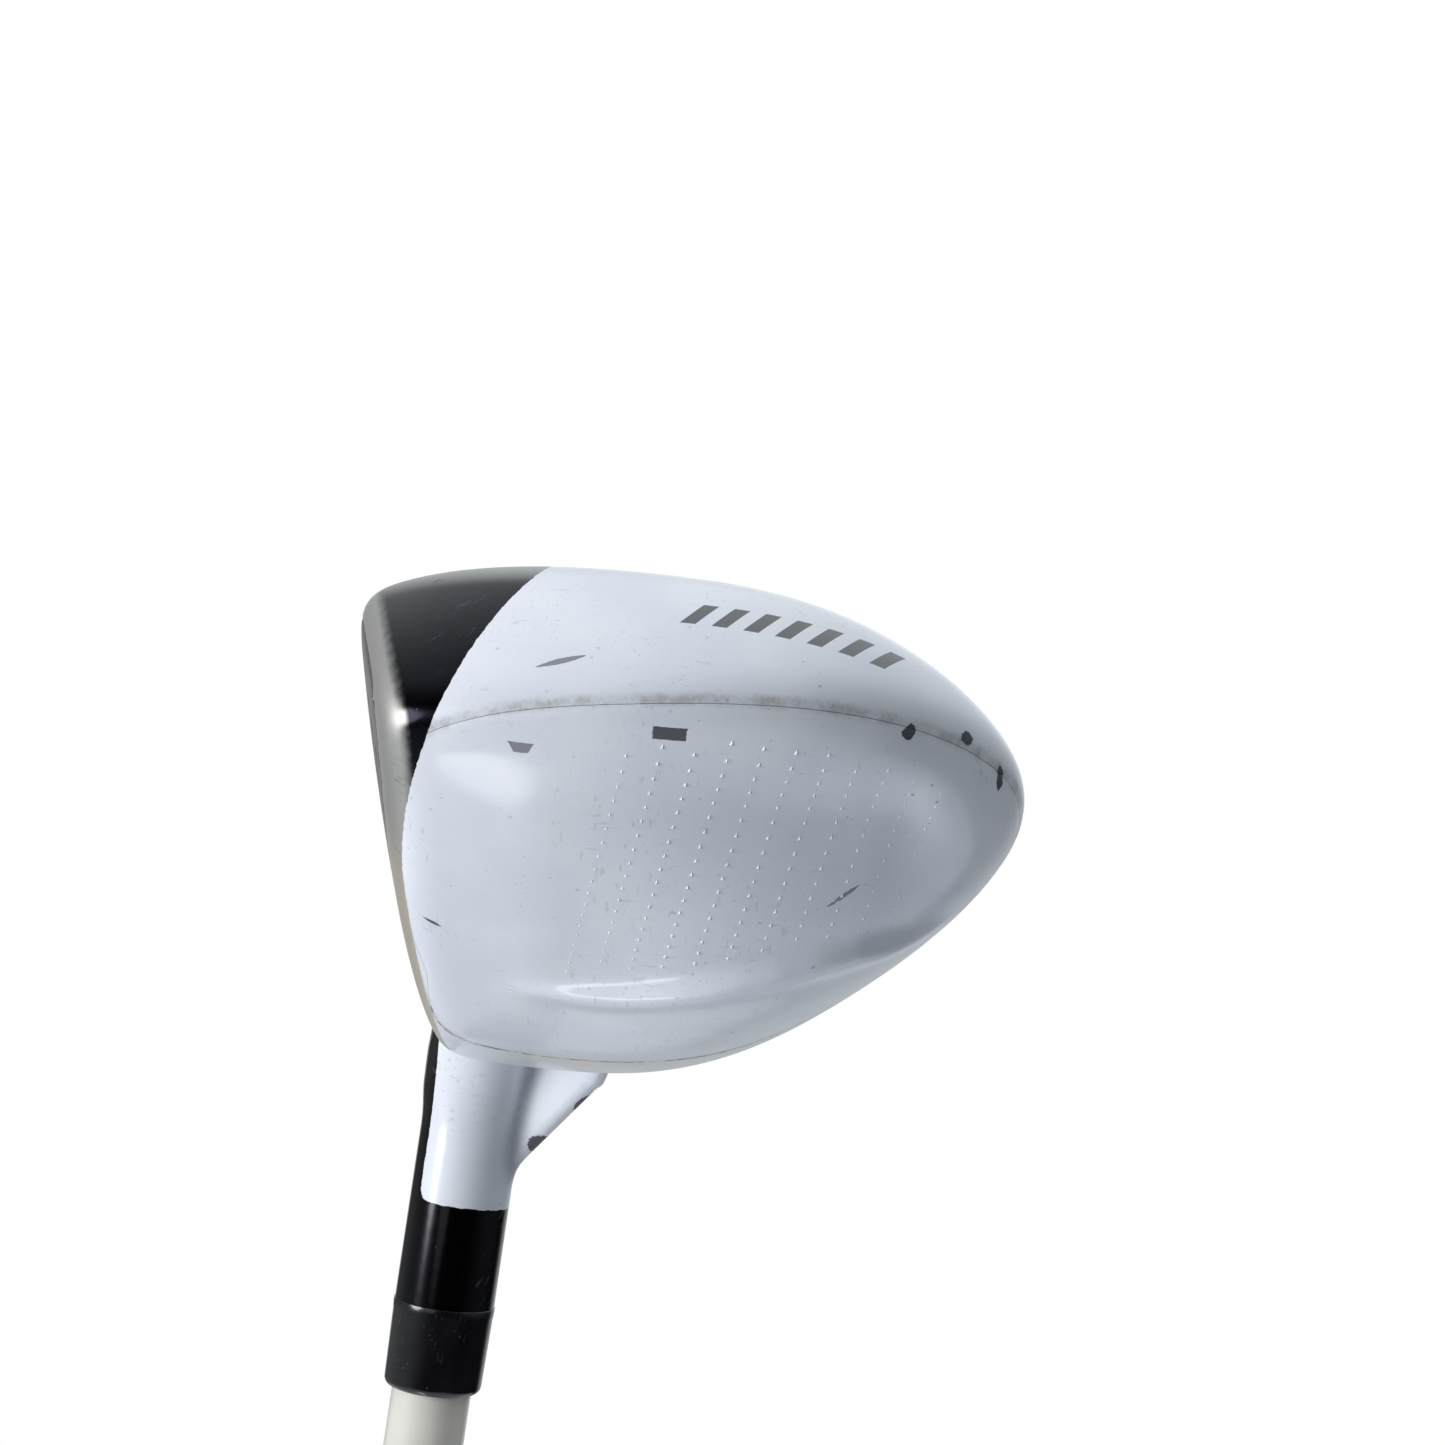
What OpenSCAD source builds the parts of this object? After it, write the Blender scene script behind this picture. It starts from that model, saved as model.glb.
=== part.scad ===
// Hybrid golf club, right-handed, stood on its grip with the head at the top.
// Millimetres. The origin is the centre of the grip cap's end face and +Z runs
// along the shaft. The face looks along -X and the toe points along -Y and up.

/* [Club] */
// Playing length, from the grip cap to the ground under the heel
club_length = 1022; // [960:1:1080]
// Angle between the shaft and the ground
lie = 60; // [57:0.5:63]

/* [Head] */
// Height of the crown above the ground
crown_height = 35; // [34:0.5:37]
// How far the leading edge sits in front of the shaft's axis
leading_edge = 13.5; // [12:0.5:14]
// Loft of the face
loft = 21; // [18:0.5:24]
// How far the face is turned open, towards the toe
face_open = 1.5; // [0:0.5:3]
// Radius of the face from heel to toe
bulge_radius = 280; // [250:10:330]
// Radius of the face from sole to crown
roll_radius = 260; // [240:10:330]
// Wall of the thin crown
crown_wall = 1.2; // [1:0.1:1.6]
// Wall of the skirt
skirt_wall = 1.6; // [1.4:0.1:2]
// Wall of the sole
sole_wall = 2.6; // [2.2:0.1:3]
// Thickness of the face plate
face_wall = 2.4; // [2:0.1:2.8]
// Depth of the damping glue on the inside of the sole
glue_depth = 3; // [2:0.5:4]

/* [Hosel and ferrule] */
// Outside diameter of the hosel
hosel_d = 13; // [12.6:0.1:13.5]
// Distance along the shaft from the ground to the hosel's open end
hosel_end = 55; // [52:1:58]
// Diameter of the hosel's bore
bore_d = 9.7; // [9.6:0.05:9.9]
// Depth of the hosel's bore
bore_depth = 32; // [28:1:34]
// Length of the ferrule
ferrule_length = 11; // [10:0.5:14]
// Diameter of the ferrule's free end
ferrule_end_d = 12.4; // [12:0.1:12.6]

/* [Shaft] */
// Diameter of the sanded tip that is glued into the hosel
tip_d = 9.4; // [9.2:0.05:9.5]
// Diameter of the painted tip just clear of the ferrule
neck_d = 10.1; // [9.9:0.05:10.3]
// Diameter of the butt
butt_d = 15.2; // [14.8:0.1:15.6]
// Wall of the butt
butt_wall = 1.1; // [0.9:0.1:1.5]
// Bore of the tip, which the balance weight fills
tip_bore_d = 5.2; // [5:0.1:5.6]
// Length of the balance weight in the tip
weight_length = 18; // [12:1:25]

/* [Grip] */
// Length of the grip with its cap
grip_length = 268; // [250:1:280]
// Diameter of the cap
cap_d = 26.6; // [25.6:0.2:27.6]
// Thickness of the cap
cap_wall = 3; // [2.5:0.1:3.5]
// Diameter of the vent hole through the cap
vent_d = 3.2; // [3:0.1:3.4]
// Diameter of the grip just under the cap
grip_top_d = 25.4; // [25:0.2:25.6]
// Diameter of the grip just above its lip
grip_low_d = 19.8; // [19.4:0.2:20.4]
// Diameter of the lip round the grip's mouth
lip_d = 21; // [20.6:0.2:21.6]
// Thickness of the tape between the grip and the shaft
tape = 0.2; // [0.15:0.05:0.3]

/* [Hidden] */

// The head's own frame has x to the back, y to the toe and z up from the ground,
// with its origin where the shaft's axis meets the ground. All of the head's
// surface can be seen from its core, so each point lies on one ray from there.
core = [24, 36, 17];

// The lists below go round the head every 30 degrees from the back, by the toe.
// Radius of the head's outline about the core
outline = [38, 45, 46, 41, 44, 49, 47, 42, 35, 32, 30, 31];
// Height of the crown's edge
edge_height = [11, 14, 20, 26, 28, 30, 33, 33, 29, 27, 22, 16];
// How far the skirt draws in at the ground
tuck = [13, 12, 8, 8, 8, 5, 5, 6, 6, 8, 10, 12];
// Angle above the core at which the crown is joined to the body
seam_angle = [-9, -4, 4, 11, 14, 28, 42, 30, 36, 46, 40, 14];

// Exponent of the crown's curve from its peak to its edge
crown_power = 2.3;
// Widths of the rounded blends
edge_blend = 5;
face_blend = 5;
sole_blend = 7;
// Where the sole touches the ground, and its radii front to back and heel to toe
sole_touch = [14, 38];
sole_radii = [190, 260];
// Centre of the face, across and up
face_centre = [38, 17];

// Rays round the head, and rows of rays in its three bands
columns = 60;
low_rows = 6;
side_rows = 8;
crown_rows = 7;
rows = low_rows + side_rows + crown_rows;
// Angle below the core at which the face plate starts
face_low = -20;
// The face plate's rows and columns
face_rows = 6;
face_columns = [22, 37];
// The glue's rows and columns
glue_rows = [2, 5];
glue_columns = [16, 24];
// Halvings that find the surface along a ray
halvings = 15;

// Stations along the shaft, measured from the grip cap
hosel_z = club_length - hosel_end;
bore_z = hosel_z + bore_depth;
tip_z = bore_z - 1;
ferrule_z = hosel_z - ferrule_length;
parallel_z = grip_length + 12;
weight_z = tip_z - weight_length - 1;
// Lengths of the lip at the grip's mouth and of its rounded shoulder
lip_length = 5;
lip_shoulder = 2;
round_fn = 64;

// A closed cubic B-spline through evenly spaced values
function around(values, angle) =
    let (
        n = len(values),
        t = (angle / 360 - floor(angle / 360)) * n,
        i = floor(t),
        f = t - i,
        a = values[(i + n - 1) % n],
        b = values[i % n],
        c = values[(i + 1) % n],
        d = values[(i + 2) % n]
    )
    ((1 - f) ^ 3 * a + (3 * f ^ 3 - 6 * f ^ 2 + 4) * b
        + (-3 * f ^ 3 + 3 * f ^ 2 + 3 * f + 1) * c + f ^ 3 * d) / 6;

// The larger of two values, rounded over where they are close
function blend(a, b, width) =
    max(a, b) + max(width - abs(a - b), 0) ^ 3 / (6 * width ^ 2);

// Height of a point above the crown's curve
function above_crown(p, angle, reach) =
    let (
        rise = crown_height - around(edge_height, angle),
        s = reach / around(outline, angle),
        curve = crown_height - rise * s ^ crown_power,
        slope = rise * crown_power * min(s, 1.3) ^ (crown_power - 1) / around(outline, angle)
    )
    (p.z - curve) / sqrt(1 + slope ^ 2);

// Distance of a point outside the skirt
function outside_skirt(p, angle, reach) =
    let (
        edge = around(edge_height, angle),
        drop = min(max((edge - p.z) / edge, 0), 1.3)
    )
    reach - (around(outline, angle) - around(tuck, angle) * drop ^ 2);

// Depth of a point below the cambered sole
function below_sole(p) =
    (p.x - sole_touch.x) ^ 2 / (2 * sole_radii.x)
        + (p.y - sole_touch.y) ^ 2 / (2 * sole_radii.y) - p.z;

// Distance of a point in front of the face
function before_face(p) =
    let (
        curve = (p.y - face_centre.x) ^ 2 / (2 * bulge_radius)
            + (p.z - face_centre.y) ^ 2 / (2 * roll_radius)
    )
    (p.z * tan(loft) + (p.y - face_centre.x) * tan(face_open)
        - leading_edge + curve - p.x) * cos(loft);

// Distance of a point outside the head, negative inside it
function outside_head(p) =
    let (
        x = p.x - core.x,
        y = p.y - core.y,
        angle = atan2(y, x),
        reach = sqrt(x ^ 2 + y ^ 2),
        shell = blend(above_crown(p, angle, reach), outside_skirt(p, angle, reach), edge_blend)
    )
    blend(blend(shell, below_sole(p), sole_blend), before_face(p), face_blend);

// Point on a ray from the core at a depth inside the head's surface
function on_ray(ray, depth, near = 0, far = 80, left = halvings) =
    let (middle = (near + far) / 2)
    left == 0 ? core + ray * middle
    : outside_head(core + ray * middle) < -depth
    ? on_ray(ray, depth, middle, far, left - 1)
    : on_ray(ray, depth, near, middle, left - 1);

// Elevation of a row of rays
function elevation(row, angle) =
    let (seam = around(seam_angle, angle))
    row <= low_rows ? -90 + (face_low + 90) * row / low_rows
    : row <= low_rows + side_rows ? face_low + (seam - face_low) * (row - low_rows) / side_rows
    : seam + (90 - seam) * (row - low_rows - side_rows) / crown_rows;

function ray(column, row) =
    let (angle = 360 * column / columns, up = elevation(row, angle))
    [cos(up) * cos(angle), cos(up) * sin(angle), sin(up)];

// One skin of the grid at a list of depths by row: both poles, then the rows between
function skin(depths) = [
    on_ray([0, 0, -1], depths[0]),
    on_ray([0, 0, 1], depths[rows]),
    for (row = [1 : rows - 1], column = [0 : columns - 1]) on_ray(ray(column, row), depths[row])
];

function corner(column, row) =
    row == 0 ? 0 : row == rows ? 1 : 2 + (row - 1) * columns + (column + columns) % columns;

// A four-cornered face as triangles, without any that has closed up at a pole
function triangles(a, b, c, d) = [
    if (a != b && b != c && c != a) [a, b, c],
    if (a != c && c != d && d != a) [a, c, d]
];

// Which piece of the head a cell of the grid belongs to
function on_face(column, row) =
    row >= low_rows && row < low_rows + face_rows
        && column >= face_columns[0] && column < face_columns[1];
function on_crown(row) = row >= low_rows + side_rows;
function on_glue(column, row) =
    row >= glue_rows[0] && row < glue_rows[1]
        && column >= glue_columns[0] && column < glue_columns[1];
function belongs(piece, column, row) =
    row < 0 || row >= rows ? false
    : piece == "crown" ? on_crown(row)
    : piece == "face_plate" ? on_face(column, row)
    : piece == "damping_glue" ? on_glue(column, row)
    : !on_crown(row) && !on_face(column, row);

// Triangles of one cell: its outer and inner faces, and a wall at each open side
function cell(piece, column, row, inside) =
    let (
        west = (column + columns - 1) % columns,
        east = (column + 1) % columns,
        a = corner(column, row),
        b = corner(column + 1, row),
        c = corner(column + 1, row + 1),
        d = corner(column, row + 1)
    )
    [
        each triangles(a, d, c, b),
        each triangles(a + inside, b + inside, c + inside, d + inside),
        if (!belongs(piece, column, row - 1)) each triangles(a, b, b + inside, a + inside),
        if (!belongs(piece, east, row)) each triangles(b, c, c + inside, b + inside),
        if (!belongs(piece, column, row + 1)) each triangles(c, d, d + inside, c + inside),
        if (!belongs(piece, west, row)) each triangles(d, a, a + inside, d + inside)
    ];

// One piece of the hollow head, between two depths under the surface
module head_piece(piece, outer, inner) {
    outer_skin = skin(outer);
    inner_skin = skin(inner);
    faces = [
        for (row = [0 : rows - 1], column = [0 : columns - 1])
            if (belongs(piece, column, row)) each cell(piece, column, row, len(outer_skin))
    ];
    polyhedron(points = concat(outer_skin, inner_skin), faces = faces, convexity = 6);
}

function even(depth) = [for (row = [0 : rows]) depth];
// The sole is thick and thins to the skirt over its last two rows
sole_depths = [
    for (row = [0 : rows])
        skirt_wall + (sole_wall - skirt_wall) * min(max((low_rows - row) / 2, 0), 1)
];

// Places the head's own frame on the end of the shaft
module on_shaft() {
    translate([0, 0, club_length]) rotate([90 + lie, 0, 0]) children();
}

// A point on the shaft's axis in the head's frame
function axis_point(along) = along * [0, -cos(lie), sin(lie)];

// Web that runs from the back of the hosel down to the heel
module web() {
    hull() {
        translate(axis_point(37) + [5, 0, 0]) sphere(r = 1.3, $fn = 20);
        translate([15.5, -8.5, 22.5]) sphere(r = 1.3, $fn = 20);
        translate([20, 5, 15]) sphere(r = 2, $fn = 20);
        translate([10, 5, 9]) sphere(r = 2, $fn = 20);
        translate(axis_point(16)) sphere(r = 3, $fn = 20);
    }
}

// Flare where the hosel runs into the heel
module neck() {
    hull() {
        translate(axis_point(27)) sphere(d = hosel_d, $fn = 32);
        translate([1.5, 2, 11.2]) sphere(r = 7.6, $fn = 32);
    }
}

module head_body() {
    color("gainsboro") difference() {
        union() {
            on_shaft() head_piece("head_body", even(0), sole_depths);
            on_shaft() web();
            on_shaft() neck();
            translate([0, 0, hosel_z]) cylinder(d = hosel_d, h = hosel_end - 14, $fn = round_fn);
        }
        translate([0, 0, hosel_z - 1]) cylinder(d = bore_d, h = bore_depth + 1, $fn = round_fn);
    }
}

module crown() {
    color("white") on_shaft() head_piece("crown", even(0), even(crown_wall));
}

module face_plate() {
    color("dimgray") on_shaft() head_piece("face_plate", even(0), even(face_wall));
}

module damping_glue() {
    color("tan") on_shaft() {
        head_piece("damping_glue", even(sole_wall), even(sole_wall + glue_depth));
    }
}

module ferrule() {
    bevel = 0.8;
    color("black") translate([0, 0, ferrule_z]) rotate_extrude($fn = round_fn) polygon([
        [neck_d / 2, 0],
        [ferrule_end_d / 2 - bevel, 0],
        [ferrule_end_d / 2, bevel],
        [hosel_d / 2, ferrule_length],
        [tip_d / 2, ferrule_length],
        [tip_d / 2, 1],
        [neck_d / 2, 1]
    ]);
}

module epoxy_bond() {
    color("khaki") rotate_extrude($fn = round_fn) polygon([
        [tip_d / 2, hosel_z],
        [bore_d / 2, hosel_z],
        [bore_d / 2, bore_z],
        [0, bore_z],
        [0, tip_z],
        [tip_d / 2, tip_z]
    ]);
}

module tip_weight() {
    color("goldenrod") translate([0, 0, weight_z]) {
        cylinder(d = tip_bore_d, h = weight_length, $fn = round_fn);
    }
}

module shaft() {
    bore_start = weight_z - 20;
    color("white") rotate_extrude($fn = round_fn) polygon([
        [butt_d / 2 - butt_wall, cap_wall],
        [butt_d / 2, cap_wall],
        [butt_d / 2, parallel_z],
        [neck_d / 2, ferrule_z - 20],
        [neck_d / 2, ferrule_z + 1],
        [tip_d / 2, ferrule_z + 1],
        [tip_d / 2, tip_z],
        [tip_bore_d / 2, tip_z],
        [tip_bore_d / 2, bore_start],
        [butt_d / 2 - butt_wall, parallel_z]
    ]);
}

module grip_tape() {
    color("beige") translate([0, 0, cap_wall]) difference() {
        cylinder(d = butt_d + 2 * tape, h = grip_length - cap_wall - lip_length, $fn = round_fn);
        translate([0, 0, -1]) cylinder(d = butt_d, h = grip_length, $fn = round_fn);
    }
}

module grip_sleeve() {
    lip_z = grip_length - lip_length;
    color("black") rotate_extrude($fn = round_fn) polygon([
        [butt_d / 2 + tape, cap_wall],
        [grip_top_d / 2, cap_wall],
        [grip_top_d / 2 - 0.9, cap_wall + 40],
        [grip_low_d / 2 + 0.8, grip_length / 2 + 20],
        [grip_low_d / 2, lip_z - lip_shoulder],
        [lip_d / 2, lip_z],
        [lip_d / 2, grip_length - 1],
        [lip_d / 2 - 0.8, grip_length],
        [butt_d / 2, grip_length],
        [butt_d / 2, lip_z],
        [butt_d / 2 + tape, lip_z]
    ]);
}

module grip_cap() {
    edge = 1.2;
    color("black") rotate_extrude($fn = round_fn) difference() {
        union() {
            square([cap_d / 2 - edge, cap_wall]);
            translate([0, edge]) square([cap_d / 2, cap_wall - edge]);
            translate([cap_d / 2 - edge, edge]) circle(r = edge, $fn = 32);
        }
        square([vent_d / 2, cap_wall]);
    }
}

head_body();
crown();
face_plate();
damping_glue();
ferrule();
epoxy_bond();
tip_weight();
shaft();
grip_tape();
grip_sleeve();
grip_cap();
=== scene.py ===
# %% [markdown]
# # A hybrid golf club, dressed over its measured frame
# A hybrid is a small wood-shaped head on an iron-length shaft. The measured model comes first,
# as a fixed frame, and every piece below is made around it in the same place and at the same
# size. Row axes are used throughout: Z runs up the shaft from the grip's cap, the face looks
# along -X and the toe leans towards -Y.

# %% Load the frame and keep its box
import math

import bpy
import numpy as np
from mathutils import Matrix, Vector


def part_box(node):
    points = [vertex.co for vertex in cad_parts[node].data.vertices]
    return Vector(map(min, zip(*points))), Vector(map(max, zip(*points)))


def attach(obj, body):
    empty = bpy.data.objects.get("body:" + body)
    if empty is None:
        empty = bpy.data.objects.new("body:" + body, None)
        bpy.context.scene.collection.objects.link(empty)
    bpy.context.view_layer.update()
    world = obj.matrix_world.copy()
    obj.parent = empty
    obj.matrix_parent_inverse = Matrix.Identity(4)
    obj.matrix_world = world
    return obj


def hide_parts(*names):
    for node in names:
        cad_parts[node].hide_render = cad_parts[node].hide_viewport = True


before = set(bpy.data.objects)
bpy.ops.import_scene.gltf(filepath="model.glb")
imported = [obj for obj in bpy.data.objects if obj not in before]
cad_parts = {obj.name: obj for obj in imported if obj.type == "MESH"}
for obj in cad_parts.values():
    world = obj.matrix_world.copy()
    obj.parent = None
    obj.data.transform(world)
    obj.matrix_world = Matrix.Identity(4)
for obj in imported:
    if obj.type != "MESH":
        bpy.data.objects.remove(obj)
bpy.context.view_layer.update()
print("nodes:", ", ".join(sorted(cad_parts)))

# %% [markdown]
# ## Stations along the club
# The frame says where each piece starts and ends, so no length is typed twice. The head is
# easier to think about in its own axes: x to the back, y to the toe and z up from the ground,
# with its origin where the shaft's line meets the ground.

# %% Measure the stations
MM = 0.001
LIE = math.radians(60)
HOSEL_LENGTH = 55.0


def ends(node):
    """Lowest and highest station of a node along the shaft, in millimetres."""
    low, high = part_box(node)
    return low.z / MM, high.z / MM


cap_low, cap_high = ends("grip_cap")
sleeve_low, sleeve_high = ends("grip_sleeve")
ferrule_low, ferrule_high = ends("ferrule")
shaft_low, shaft_high = ends("shaft")
ground = ferrule_high + HOSEL_LENGTH
TURN = np.array([[1, 0, 0],
                 [0, -math.sin(LIE), -math.cos(LIE)],
                 [0, math.cos(LIE), -math.sin(LIE)]])
SHAFT_LINE = np.array([0, -math.cos(LIE), math.sin(LIE)])


def to_row(points):
    """Head axes in millimetres to the frame's axes in metres."""
    return (np.asarray(points, float) @ TURN.T + (0, 0, ground)) * MM


print(f"grip {sleeve_low:.0f} to {sleeve_high:.0f} mm, ferrule {ferrule_low:.0f} to "
      f"{ferrule_high:.0f} mm, ground at {ground:.0f} mm")

# %% [markdown]
# ## The camera
# The view is a close one of the head from its toe side, with the shaft leaving at the bottom
# left. A camera is a pose and a lens: the pose is built from an aim point, two angles, a roll
# and a distance, so each of them can be changed on its own.

# %% Place the camera
AIM = Vector(to_row([33.2, 75.75, 24]))
AZIMUTH, ELEVATION, ROLL = (math.radians(a) for a in (6.1, -4.6, 8.1))
DISTANCE = 0.209
LENS = 55.2


def make_camera():
    away = Vector((math.sin(AZIMUTH) * math.cos(ELEVATION),
                   -math.cos(AZIMUTH) * math.cos(ELEVATION), math.sin(ELEVATION)))
    right = (-away).cross(Vector((0, 0, 1))).normalized()
    up = right.cross(-away)
    side = right * math.cos(ROLL) + up * math.sin(ROLL)
    top = up * math.cos(ROLL) - right * math.sin(ROLL)
    data = bpy.data.cameras.new("camera")
    data.lens, data.clip_start, data.clip_end = LENS, 0.01, 20
    camera = bpy.data.objects.new("camera", data)
    camera.matrix_world = Matrix.Translation(AIM + away * DISTANCE) @ Matrix(
        (side, top, away)).transposed().to_4x4()
    bpy.context.scene.collection.objects.link(camera)
    bpy.context.scene.camera = camera
    return camera


camera = make_camera()
print("camera at", [round(c, 3) for c in camera.location], "lens", round(LENS, 1))

# %% [markdown]
# ## Nodes as Python
# A material is a small program of nodes. Wiring them by hand is slow to read, so one class
# wraps a socket and lets Python's own operators add Math nodes: `1 - mask * 0.3` then means
# what it says. Colours and vectors go through Mix and Vector Math, because a Math node would
# turn them grey.

# %% A socket that can be reckoned with


class Wire:
    """One output socket of a material's node tree."""

    def __init__(self, tree, socket):
        self.tree, self.socket = tree, socket

    def math(self, operation, *values):
        node = self.tree.nodes.new("ShaderNodeMath")
        node.operation = operation
        for socket, value in zip(node.inputs, values):
            feed(self.tree, socket, value)
        return Wire(self.tree, node.outputs[0])

    def __add__(self, other): return self.math("ADD", self, other)
    def __radd__(self, other): return self.math("ADD", other, self)
    def __sub__(self, other): return self.math("SUBTRACT", self, other)
    def __rsub__(self, other): return self.math("SUBTRACT", other, self)
    def __mul__(self, other): return self.math("MULTIPLY", self, other)
    def __rmul__(self, other): return self.math("MULTIPLY", other, self)
    def __truediv__(self, other): return self.math("DIVIDE", self, other)
    def __rtruediv__(self, other): return self.math("DIVIDE", other, self)
    def __neg__(self): return self.math("MULTIPLY", self, -1.0)
    def __and__(self, other): return self.math("MINIMUM", self, other)
    def __or__(self, other): return self.math("MAXIMUM", self, other)
    def __abs__(self): return self.math("ABSOLUTE", self)
    def sin(self): return self.math("SINE", self)
    def fract(self): return self.math("FRACT", self)

    def rise(self, low, high):
        """0 below low, 1 above high and a soft step between; low may be the larger."""
        node = self.tree.nodes.new("ShaderNodeMapRange")
        node.interpolation_type = "SMOOTHSTEP"
        flip = low > high
        values = (self, min(low, high), max(low, high), float(flip), float(not flip))
        for name, value in zip(("Value", "From Min", "From Max", "To Min", "To Max"), values):
            feed(self.tree, node.inputs[name], value)
        return Wire(self.tree, node.outputs[0])

    def near(self, centre, width):
        """1 at a value and 0 further off than a width."""
        return abs(self - centre).rise(width, 0)

    def xyz(self):
        node = self.tree.nodes.new("ShaderNodeSeparateXYZ")
        feed(self.tree, node.inputs[0], self)
        return [Wire(self.tree, socket) for socket in node.outputs]


def feed(tree, socket, value):
    """Links a wire to a socket, or sets the socket's own value."""
    if isinstance(value, Wire):
        tree.links.new(value.socket, socket)
    elif socket.type == "RGBA" and len(value) == 3:
        socket.default_value = (*value, 1)
    else:
        socket.default_value = value


def add_node(tree, kind, settings=None, out=0, **inputs):
    """Any other node: its settings first, then the values or links of its sockets."""
    node = tree.nodes.new("ShaderNode" + kind)
    for key, value in (settings or {}).items():
        setattr(node, key, value)
    for key, value in inputs.items():
        name = key.replace("_", " ")
        socket = node.inputs[int(key[1:])] if key[1:].isdigit() else node.inputs[name]
        feed(tree, socket, value)
    return Wire(tree, node.outputs[out])


print("wires ready")

# %% [markdown]
# ## A finish under construction
# Every material starts alike, with a tree, a main shader and the places to paint by. One small
# class keeps them together, so each finish reads as a list of what happened to the surface.

# %% The start of every finish


def srgb(r, g, b):
    """A colour picked on a screen, as the linear light that shaders use."""
    return tuple(((c / 255 + 0.055) / 1.055) ** 2.4 if c > 10 else c / 255 / 12.92
                 for c in (r, g, b))


class Finish:
    """A material under construction: its tree, the piece's places and its main shader."""

    def __init__(self, name, **constants):
        self.material = bpy.data.materials.new(name)
        self.material.use_nodes = True
        self.tree = self.material.node_tree
        self.shader = self.tree.nodes["Principled BSDF"]
        for key, value in constants.items():
            feed(self.tree, self.shader.inputs[key.replace("_", " ")], value)

    def node(self, kind, settings=None, out=0, **inputs):
        return add_node(self.tree, kind, settings, out, **inputs)

    def place(self, name="Object"):
        """Where a point is: on a stored attribute, or in the object's own axes, in mm."""
        if name != "Object":
            return self.node("Attribute", {"attribute_name": name}, 1)
        here = self.node("TexCoord", out=3)
        return self.node("VectorMath", {"operation": "SCALE"}, i0=here, Scale=1000.0)

    def number(self, name):
        return self.node("Attribute", {"attribute_name": name}, 2)

    def noise(self, where, scale, detail=3.0, seed=0.0, rough=0.5):
        return self.node("TexNoise", {"noise_dimensions": "4D"}, Vector=where, W=seed,
                         Scale=scale, Detail=detail, Roughness=rough)

    def stretch(self, where, x, y, z):
        return self.node("VectorMath", {"operation": "MULTIPLY"}, i0=where, i1=(x, y, z))

    def mix(self, mask, under, over):
        return self.node("Mix", {"data_type": "RGBA"}, 2, i0=mask, i6=under, i7=over)

    def bump(self, height, distance, strength=1.0, under=None):
        extra = {"Normal": under} if under else {}
        return self.node("Bump", Height=height, Distance=distance, Strength=strength, **extra)

    def wear(self, **inputs):
        """Feeds the main shader and hands back the material."""
        for key, value in inputs.items():
            feed(self.tree, self.shader.inputs[key.replace("_", " ")], value)
        return self.material


print("finish helpers ready")

# %% [markdown]
# ## The studio
# A light tent: bright cloth above, behind and low on the left, and a dark side where the camera
# stands, because black parts look grey without something dark to mirror. Close by on the left
# stands a soft key lamp, whose light falls off across the head as it would from a window. A
# weak one fills the toe, and a narrow one from below draws the glint along the crown's
# shoulder. The camera sees plain white behind the club, and a pale floor lies under the cap,
# low enough to stay out of the close view.

# %% Build the studio
FLOOR_HALF = 1.3
SOFT_EDGE = (0.35, 0.9)  # where each sheet of cloth fades in
HEAD_MIDDLE = Vector(to_row([24, 36, 20]))
LAMPS = [  # name, metres away from the head, size in metres, watts, spread in degrees
    ("key", (-0.43, -0.27, 0.02), 0.3, 2.5, 180),
    ("fill", (-0.2, -0.45, 0.0), 0.3, 0.15, 180),
    ("glint", (-0.17, -0.18, -0.76), 0.15, 0.021, 40),
]


def make_world():
    world = bpy.data.worlds.new("light tent")
    bpy.context.scene.world = world
    world.use_nodes = True
    tree = world.node_tree
    x, y, z = add_node(tree, "TexCoord").xyz()
    above = z.rise(*SOFT_EDGE)
    above_right = (0.7 * x + 0.7 * z).rise(*SOFT_EDGE)
    above_back = (0.5 * y + 0.85 * z).rise(*SOFT_EDGE)
    below_left = (-0.6 * x - 0.7 * z).rise(*SOFT_EDGE)
    low_back = y.rise(0.75, 0.95)
    level = (0.01 + 0.44 * above + 0.34 * above_right + 0.78 * above_back
             + 0.35 * below_left + 0.6 * low_back)
    tent = add_node(tree, "Background", Color=(0.93, 0.97, 1.0), Strength=level)
    plain = add_node(tree, "Background", Color=(1, 1, 1), Strength=1.0)
    seen = add_node(tree, "LightPath")
    both = add_node(tree, "MixShader", i0=seen, i1=tent, i2=plain)
    tree.links.new(both.socket, tree.nodes["World Output"].inputs[0])


def add_lamp(name, away, size, watts, spread):
    """A round soft lamp that looks at the head and stays out of the camera's sight."""
    data = bpy.data.lights.new(name, "AREA")
    data.shape, data.size, data.energy = "DISK", size, watts
    data.spread = math.radians(spread)
    lamp = bpy.data.objects.new(name, data)
    lamp.location = HEAD_MIDDLE + Vector(away)
    lamp.visible_camera = False
    lamp.rotation_euler = (HEAD_MIDDLE - lamp.location).to_track_quat("-Z", "Y").to_euler()
    bpy.context.scene.collection.objects.link(lamp)


def make_floor():
    mesh = bpy.data.meshes.new("floor")
    edge = FLOOR_HALF
    mesh.from_pydata([(-edge, -edge, 0), (edge, -edge, 0), (edge, edge, 0), (-edge, edge, 0)],
                     [], [(0, 1, 2, 3)])
    floor = bpy.data.objects.new("floor", mesh)
    bpy.context.scene.collection.objects.link(floor)
    pale = Finish("pale_floor", Roughness=0.7)
    mottle = pale.noise(pale.place(), 0.02)
    mesh.materials.append(pale.wear(
        Base_Color=pale.mix(mottle, srgb(236, 236, 238), srgb(242, 242, 243))))


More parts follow.
